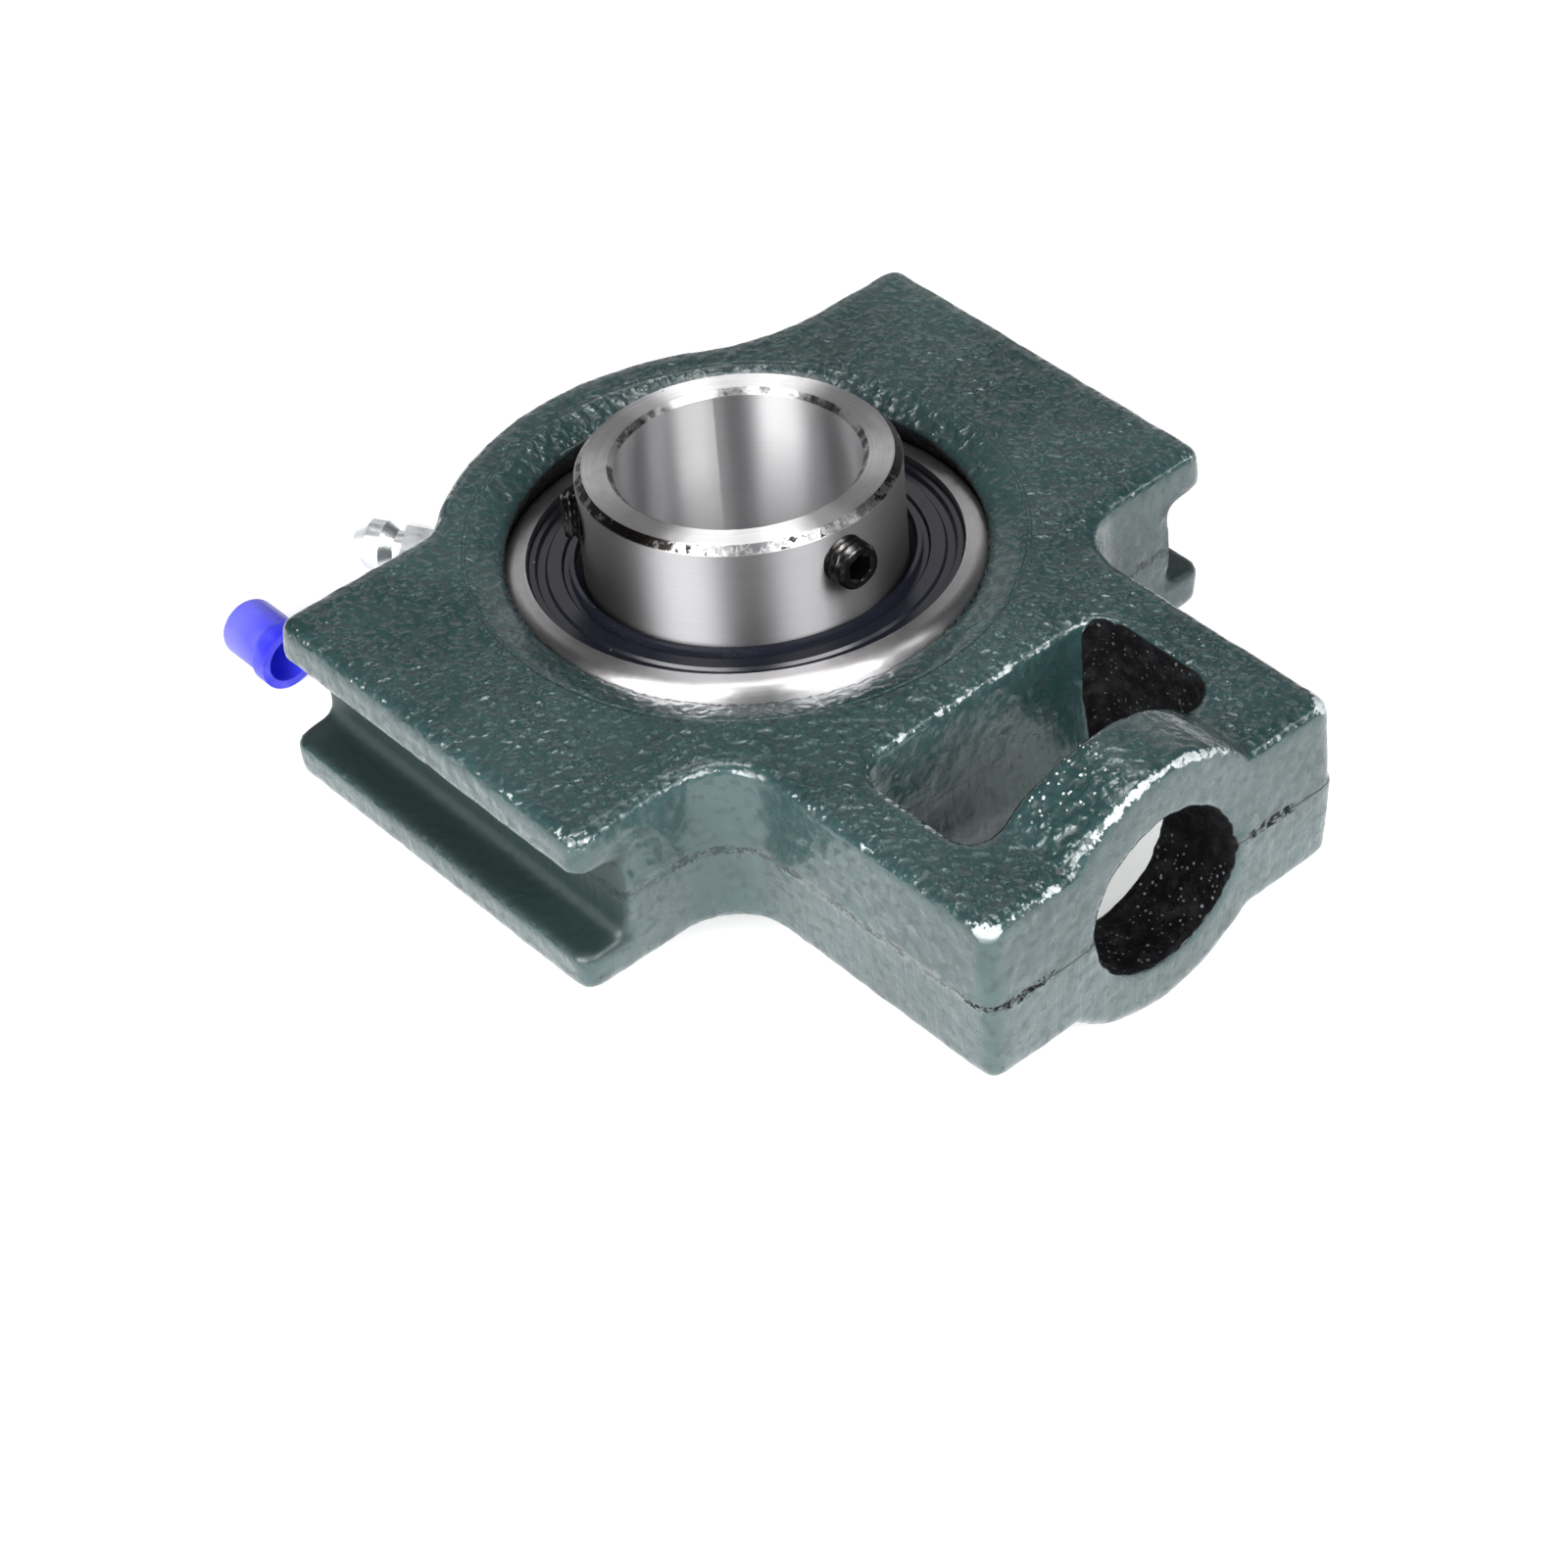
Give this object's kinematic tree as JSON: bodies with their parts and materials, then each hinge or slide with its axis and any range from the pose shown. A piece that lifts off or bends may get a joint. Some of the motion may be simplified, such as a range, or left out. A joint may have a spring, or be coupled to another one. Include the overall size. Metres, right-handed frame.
{
  "type": "take-up bearing unit",
  "caption": "Take-up bearing unit: cast housing with guide grooves, screw boss and nut slot, holding a self-aligning insert bearing with a set screw collar.",
  "frame": {"origin": "centre of the spherical seat, half way through the housing's thickness", "axes": "+X towards the take-up screw end, +Z square to the flat faces towards the set screw collar, +Y across the guide grooves"},
  "size_m": [0.1281, 0.1014, 0.0422],
  "materials": {
    "housing_enamel": "dark green gloss enamel over a cast surface",
    "ground_steel": "ground",
    "ball_steel": "polished",
    "pressed_steel": "bright pressed sheet",
    "plated_steel": "zinc plated",
    "spring_steel": "drawn wire",
    "black_steel": "black oxide",
    "seal_rubber": "smooth moulded",
    "cap_plastic": "gloss"
  },
  "bodies": {
    "housing": {"housing": "housing_enamel", "grease_nipple": "plated_steel", "nipple_spring": "spring_steel", "nipple_cap": "cap_plastic"},
    "insert": {"outer_ring": "ground_steel", "seal_core_top": "pressed_steel", "seal_core_bottom": "pressed_steel", "seal_rubber_top": "seal_rubber", "seal_rubber_bottom": "seal_rubber"},
    "inner_ring": {"inner_ring": "ground_steel"},
    "ball_train": {"ball_1": "ball_steel", "ball_2": "ball_steel", "ball_3": "ball_steel", "ball_4": "ball_steel", "ball_5": "ball_steel", "ball_6": "ball_steel", "ball_7": "ball_steel", "ball_8": "ball_steel", "ball_9": "ball_steel", "cage_upper": "pressed_steel", "cage_lower": "pressed_steel", "cage_rivets": "pressed_steel"},
    "set_screw_a": {"set_screw_a": "black_steel"},
    "set_screw_b": {"set_screw_b": "black_steel"},
    "nipple_ball": {"nipple_ball": "ball_steel"}
  },
  "joints": [
    {"name": "insert_swivel", "type": "hinge", "parent": "housing", "child": "insert", "pos_m": [0, 0, 0], "axis": [-0.4848, -0.8746, 0], "range_deg": [-11.5, 0.5]},
    {"name": "inner_ring_spin", "type": "hinge", "parent": "insert", "child": "inner_ring", "pos_m": [0, 0, 0], "axis": [-0.0838, 0.0465, 0.9954], "continuous": true},
    {"name": "ball_train_orbit", "type": "hinge", "parent": "insert", "child": "ball_train", "pos_m": [0, 0, 0], "axis": [-0.0838, 0.0465, 0.9954], "continuous": true},
    {"name": "set_screw_a_travel", "type": "slide", "parent": "inner_ring", "child": "set_screw_a", "axis": [0.995, -0.0503, 0.0861], "range_m": [-0.0017, 0.0015]},
    {"name": "set_screw_b_travel", "type": "slide", "parent": "inner_ring", "child": "set_screw_b", "axis": [-0.5444, -0.8388, -0.0067], "range_m": [-0.0005, 0.0027]},
    {"name": "nipple_ball_lift", "type": "slide", "parent": "housing", "child": "nipple_ball", "axis": [0.866, 0.5, 0], "range_m": [0, 0.0006], "stiffness_N_per_m": 800, "springref_m": -0.0006, "deforming": ["nipple_spring"]}
  ],
  "couplings": [
    {"joint": "ball_train_orbit", "follows": "inner_ring_spin", "ratio": 0.39643}
  ]
}
